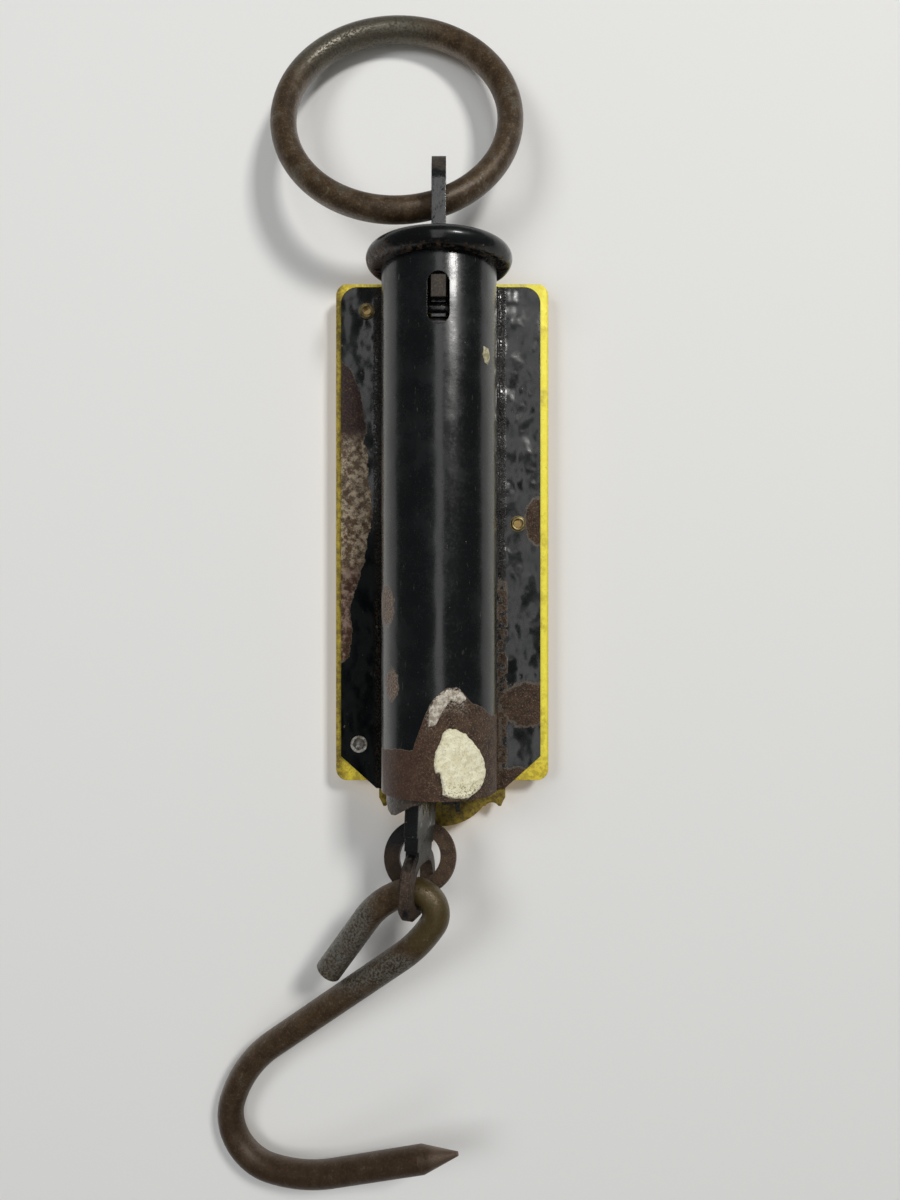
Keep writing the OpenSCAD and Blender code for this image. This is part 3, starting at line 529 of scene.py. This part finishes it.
def mat_plaster():
    g = Graph("plaster_drop")
    n1 = g.noise(0.5, 4, 0.6, seed=150)
    n2 = g.noise(2.4, 5, 0.65, seed=151)
    col = g.mix(g.ss(n1, 0.35, 0.65), (0.74, 0.69, 0.47), (0.86, 0.83, 0.62))
    low = g.ss(g.m("ADD", g.z, g.mul(g.m("SUBTRACT", n1, 0.5), 3)), -130.5, -134.5)
    col = g.mix(g.mul(g.ss(n2, 0.50, 0.6), g.lerp(low, 0.25, 0.9)), col, (0.17, 0.14, 0.06))
    col = g.mix(g.mul(g.ss(g.cell(1.2, 7), 0.12, 0.06), 0.7), col, (0.12, 0.09, 0.05))
    h = g.add(g.mul(n1, 0.8), g.mul(n2, 0.4))
    return g.finish(col, g.add(0.55, g.mul(n2, 0.25)), 0.0, h, 0.25, spec=0.35)


def mat_crust(name, a, b, seed):
    g = Graph(name)
    n1 = g.noise(1.2, 5, 0.65, seed=seed)
    n2 = g.noise(4.5, 4, 0.6, seed=seed + 1)
    col = g.mix(g.ss(n1, 0.4, 0.6), a, b)
    col = g.mix(g.mul(g.ss(n2, 0.55, 0.68), 0.6), col, tuple(v * 0.35 for v in a))
    h = g.add(g.mul(n1, 0.8), g.mul(n2, 0.4))
    return g.finish(col, g.add(0.62, g.mul(n2, 0.25)), 0.0, h, 0.2, spec=0.3)


def mat_ink():
    g = Graph("dial_wax")
    n1 = g.noise(2.5, 4, 0.6, seed=160)
    col = g.mix(g.ss(n1, 0.45, 0.65), (0.010, 0.009, 0.008), (0.045, 0.034, 0.022))
    return g.finish(col, g.add(0.4, g.mul(n1, 0.3)), 0.0, n1, 0.05)


dress(nodes["back_shell"], mat_shell(), 30)
dress(nodes["top_cap"], mat_cap(), 40)
dress(nodes["face_plate"], mat_brass(), 30)
dress(nodes["bottom_guide"], mat_guide(), 30)
dress(nodes["hanger"], mat_hanger(), 30)
dress(nodes["draw_bar"], mat_bar(), 30)
dress(nodes["link_ring"], mat_link(), 40)
dress(nodes["load_hook"], mat_hook(), 40)
dress(nodes["suspension_ring"], mat_steel("ring_steel", 140, (0.034, 0.019, 0.008), (0.078, 0.049, 0.023), (0.115, 0.074, 0.038),
      plate=((0.080, 0.075, 0.055), (0.135, 0.130, 0.105), 0.33, 0.6), plate_mask=mask_ring, rough0=0.30, metal=0.3, pit=0.35, dist=0.16), 40)
dress(nodes["pointer"], mat_yellow("pointer_brass", 170, (0.15, 0.105, 0.05), (0.06, 0.04, 0.02)), 30)
dress(nodes["pointer_rivet"], mat_yellow("pin_steel", 175, (0.32, 0.27, 0.17), (0.12, 0.09, 0.06)), 30)
dress(nodes["face_eyelets"], mat_yellow("eyelet_brass", 180, (0.34, 0.27, 0.12), (0.13, 0.10, 0.045), rough0=0.25), 30)
dress(nodes["clinch_rivet"], mat_yellow("clinch_nickel", 185, (0.42, 0.41, 0.38), (0.17, 0.15, 0.12), rough0=0.22), 30)
spring_mat = mat_spring()
dress(nodes["spring"], spring_mat, 60)


# ---------------------------------------------------------------- extra pieces
def mesh_piece(name, verts, faces, mat, body="casing", angle=60):
    me = bpy.data.meshes.new(name)
    me.from_pydata([tuple(v) for v in np.asarray(verts) / 1000.0], [], [tuple(int(i) for i in f) for f in faces])
    me.update()
    o = bpy.data.objects.new(name, me)
    scene.collection.objects.link(o)
    dress(o, mat, angle)
    if body:
        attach(o, body)
    return o


# round-wire spring coil in place of the CAD spring, keeping its wire round
COIL_R, WIRE, TOP_Z, A0 = 10.0, 1.1, -27.85, 200.0
END_T, MID_T, P_END, P_MID = 1.75, 8.5, 3.2, 2.4
per, sides = 48, 16
total = 2 * END_T + MID_T
steps = int(total * per)
V, W = [], []
for i in range(steps + 1):
    t = i / per
    drop = P_END * t if t < END_T else (P_END * END_T + P_MID * (t - END_T) if t < END_T + MID_T else P_END * END_T + P_MID * MID_T + P_END * (t - END_T - MID_T))
    a = math.radians(A0 + 360 * t)
    w = min(1.0, max(0.0, (t - END_T) / MID_T))
    s = 1.0
    if i < 4:
        s = math.sin(math.pi / 2 * (i + 1) / 5)
    if i > steps - 4:
        s = math.sin(math.pi / 2 * (steps - i + 1) / 5)
    for j in range(sides):
        b = 2 * math.pi * j / sides
        r = COIL_R + 0.985 * WIRE * s * math.cos(b)
        V.append((r * math.cos(a), r * math.sin(a), TOP_Z - drop + 0.985 * WIRE * s * math.sin(b)))
        W.append(w)
F = [tuple(range(sides - 1, -1, -1))]
for i in range(steps):
    for j in range(sides):
        k = (j + 1) % sides
        F.append((i * sides + j, i * sides + k, (i + 1) * sides + k, (i + 1) * sides + j))
F.append(tuple(steps * sides + j for j in range(sides)))
coil = mesh_piece("spring_coil", V, F, spring_mat, body=None)
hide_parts("spring")
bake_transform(coil)

# a thick drop of plaster and two crusts stuck on the tube, drawn over its round back
def inside_dist(px, pz, poly):
    poly = np.array(poly, float)
    q = np.roll(poly, -1, 0)
    d = np.full(px.shape, 1e9)
    ins = np.zeros(px.shape, bool)
    for (x0, z0), (x1, z1) in zip(poly, q):
        ex, ez = x1 - x0, z1 - z0
        t = np.clip(((px - x0) * ex + (pz - z0) * ez) / (ex * ex + ez * ez), 0, 1)
        d = np.minimum(d, np.hypot(px - x0 - t * ex, pz - z0 - t * ez))
        cond = ((z0 > pz) != (z1 > pz)) & (px < (x1 - x0) * (pz - z0) / (z1 - z0 + 1e-12) + x0)
        ins ^= cond
    return np.where(ins, d, -d)


def lump_noise(x, z, seed, scale):
    r = np.random.default_rng(seed)
    out = np.zeros_like(x)
    for k in range(24):
        f = scale * (0.5 + 2.5 * r.random())
        a = r.random() * 2 * math.pi
        out += np.sin((x * math.cos(a) + z * math.sin(a)) * f + r.random() * 6.28) / (0.6 + f / scale)
    return out / 6.0


def tube_lump(name, poly, thick, step, mat, seed, rise=0.9):
    R = 13.2
    xs = [p[0] for p in poly]
    zs = [p[1] for p in poly]
    a0, a1 = math.asin((min(xs) - 0.4) / R), math.asin(min(0.999, (max(xs) + 0.4) / R))
    na, nz = int(R * (a1 - a0) / step) + 2, int((max(zs) - min(zs) + 0.8) / step) + 2
    A, Z = np.meshgrid(np.linspace(a0, a1, na), np.linspace(min(zs) - 0.4, max(zs) + 0.4, nz))
    X = R * np.sin(A)
    sd = inside_dist(X, Z, poly) + 0.16 * lump_noise(X, Z, seed, 3.0)
    t = np.clip(sd / rise, 0, 1)
    h = thick * np.sqrt(np.clip(t * (2 - t), 0, 1)) * (1 + 0.28 * lump_noise(X, Z, seed + 1, 1.6) + 0.12 * lump_noise(X, Z, seed + 2, 5.0))
    out = R + np.where(sd > 0, np.maximum(h, 0.02), np.maximum(-0.25, sd * 0.8))
    keep = sd > -0.45
    idx = -np.ones(X.shape, int)
    vs, fs = [], []
    use = np.zeros(X.shape, bool)
    cells = []
    for j in range(nz - 1):
        for i in range(na - 1):
            if keep[j, i] and keep[j, i + 1] and keep[j + 1, i] and keep[j + 1, i + 1]:
                cells.append((j, i))
                use[j:j + 2, i:i + 2] = True
    n = int(use.sum())
    idx[use] = np.arange(n)
    o = out[use]
    ang, zz = A[use], Z[use]
    vs += list(zip(o * np.sin(ang), -o * np.cos(ang), zz))
    vs += list(zip(12.9 * np.sin(ang), -12.9 * np.cos(ang), zz))
    edges = {}
    for j, i in cells:
        q = [idx[j, i], idx[j, i + 1], idx[j + 1, i + 1], idx[j + 1, i]]
        fs.append(tuple(q))
        fs.append(tuple(v + n for v in reversed(q)))
        for k in range(4):
            e = (q[k], q[(k + 1) % 4])
            if (e[1], e[0]) in edges:
                del edges[(e[1], e[0])]
            else:
                edges[e] = 1
    for a, b in edges:
        fs.append((b, a, a + n, b + n))
    return mesh_piece(name, vs, fs, mat)


PLASTER = [(2.9, -120), (4, -120.3), (5.7, -121.3), (7.3, -122.9), (8.6, -124.8), (9.5, -126.5), (10, -128.1), (10.2, -130.2), (9.8, -132), (8.8, -133.8),
           (6.4, -135.3), (2.5, -134.9), (1, -134.2), (1, -133.3), (0.6, -130.8), (0.3, -129.5), (-0.5, -129.5), (-0.9, -128), (-0.7, -125.2), (0.6, -122.4),
           (1, -120.9), (1.9, -120.2)]
tube_lump("plaster_drop", PLASTER, 0.62, 0.17, mat_plaster(), 5, 0.8)
tube_lump("crust_high", [(-0.4, -113.2), (1.9, -111.6), (4.6, -111.8), (6.1, -113.6), (4.6, -114.6), (2.6, -113.9), (1.2, -115.6), (-0.6, -119.2), (-2.1, -119.6), (-2.0, -116)],
          0.30, 0.16, mat_crust("crust_pale", (0.30, 0.25, 0.19), (0.62, 0.58, 0.50), 190), 9, 0.7)
tube_lump("crust_spot", [(9.9, -36.4), (10.9, -36.6), (11.3, -38.4), (10.9, -40.2), (10.2, -39.9), (9.7, -38.2)],
          0.34, 0.12, mat_crust("crust_yellow", (0.30, 0.27, 0.15), (0.55, 0.52, 0.36), 195), 12, 0.5)


# numerals of the dial, thin letters of black wax on the brass front
ink = mat_ink()
def numeral(name, txt, x, z, size):
    cu = bpy.data.curves.new(name, "FONT")
    cu.body = txt
    cu.size = size / 1000
    cu.align_x, cu.align_y = "CENTER", "CENTER"
    cu.extrude = 0.00004
    cu.resolution_u = 6
    o = bpy.data.objects.new(name + "_c", cu)
    scene.collection.objects.link(o)
    bpy.context.view_layer.update()
    me = bpy.data.meshes.new_from_object(o.evaluated_get(bpy.context.evaluated_depsgraph_get()))
    bpy.data.objects.remove(o)
    co = np.array([v.co for v in me.vertices]).reshape(-1, 3)
    # text plane (x, y) read from the front, where +X runs to the left
    new = np.stack([x / 1000 - co[:, 0], 0.01403 + co[:, 2], z / 1000 + co[:, 1]], 1)
    me.vertices.foreach_set("co", new.astype(np.float32).ravel())
    me.update()
    ob = bpy.data.objects.new(name, me)
    scene.collection.objects.link(ob)
    dress(ob, ink, 30)
    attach(ob, "casing")


for i in range(6):
    z = -65.25 - 13.0 * i
    numeral(f"dial_left_{10 * i}", str(10 * i), -13.8 if i else -12.9, z, 4.2)
    numeral(f"dial_right_{10 * i}", str(10 * i), 13.8 if i else 12.9, z, 4.2)


# ---------------------------------------------------------------- stage, light, camera
def stage_mat():
    m = bpy.data.materials.new("table_paper")
    m.use_nodes = True
    nt = m.node_tree
    nt.nodes.clear()
    geo = nt.nodes.new("ShaderNodeNewGeometry")
    d = nt.nodes.new("ShaderNodeBsdfDiffuse")
    t = nt.nodes.new("ShaderNodeBsdfTransparent")
    mixn = nt.nodes.new("ShaderNodeMixShader")
    o = nt.nodes.new("ShaderNodeOutputMaterial")
    d.inputs[0].default_value = (0.80, 0.80, 0.785, 1)
    nt.links.new(geo.outputs["Backfacing"], mixn.inputs[0])
    nt.links.new(d.outputs[0], mixn.inputs[1])
    nt.links.new(t.outputs[0], mixn.inputs[2])
    nt.links.new(mixn.outputs[0], o.inputs[0])
    return m


TABLE_Y = 0.01935
me = bpy.data.meshes.new("table_top")
s = 4.0
me.from_pydata([(-s, 0, -s), (s, 0, -s), (s, 0, s), (-s, 0, s)], [], [(0, 1, 2, 3)])
table = bpy.data.objects.new("table_top", me)
scene.collection.objects.link(table)
me.materials.append(stage_mat())
table.location = (0, TABLE_Y, 0)
table.visible_shadow = False
drv = table.driver_add("location", 1).driver
drv.type = "SCRIPTED"
for nm, b in (("a", "ring"), ("b", "link")):
    v = drv.variables.new()
    v.name = nm
    v.type = "TRANSFORMS"
    v.targets[0].id = bodies[b]
    v.targets[0].transform_type = "ROT_X"
    v.targets[0].transform_space = "WORLD_SPACE"
drv.expression = f"{TABLE_Y} + 0.045 * min(max(0, -a), 1.3) + 0.012 * min(max(0, -b), 1.6)"


def area(name, loc, target, size, power, size_y=None, color=(1, 1, 1)):
    l = bpy.data.lights.new(name, "AREA")
    l.shape = "RECTANGLE" if size_y else "SQUARE"
    l.size = size
    if size_y:
        l.size_y = size_y
    l.energy = power
    l.color = color
    o = bpy.data.objects.new(name, l)
    o.location = loc
    o.rotation_mode = "QUATERNION"
    o.rotation_quaternion = (Vector(target) - Vector(loc)).to_track_quat("-Z", "Y")
    o.visible_camera = False
    scene.collection.objects.link(o)
    return o


C = (0, 0, -0.09)
area("key_right", (0.46, -0.86, 0.42), C, 0.20, 6.6, color=(1.0, 0.985, 0.96))
area("key_left", (-0.55, -0.90, 0.10), C, 0.40, 3.4, color=(0.97, 0.985, 1.0)).visible_glossy = False
area("window_strip", (0.01, -1.0, -0.02), C, 0.27, 1.9, 1.5)
area("rear_soft", (0.5, 0.9, 0.4), C, 0.9, 9.0)
area("rear_low", (-0.6, 0.8, -0.4), C, 0.7, 4.0)

world = bpy.data.worlds.new("room")
scene.world = world
world.use_nodes = True
wt = world.node_tree
wt.nodes.clear()
lp = wt.nodes.new("ShaderNodeLightPath")
b1 = wt.nodes.new("ShaderNodeBackground")
b2 = wt.nodes.new("ShaderNodeBackground")
wm = wt.nodes.new("ShaderNodeMixShader")
wo = wt.nodes.new("ShaderNodeOutputWorld")
b1.inputs[0].default_value = (0.10, 0.10, 0.102, 1)
b2.inputs[0].default_value = (0.70, 0.70, 0.685, 1)
wt.links.new(lp.outputs["Is Camera Ray"], wm.inputs[0])
wt.links.new(b1.outputs[0], wm.inputs[1])
wt.links.new(b2.outputs[0], wm.inputs[2])
wt.links.new(wm.outputs[0], wo.inputs[0])

cam = bpy.data.cameras.new("camera")
cam.lens = 27.03
cam.sensor_width = 36.0
cam.clip_start = 0.005
co = bpy.data.objects.new("camera", cam)
co.location = (0.0025, -0.207, -0.09225)
co.rotation_euler = (math.radians(90), 0, 0)
scene.collection.objects.link(co)
scene.camera = co
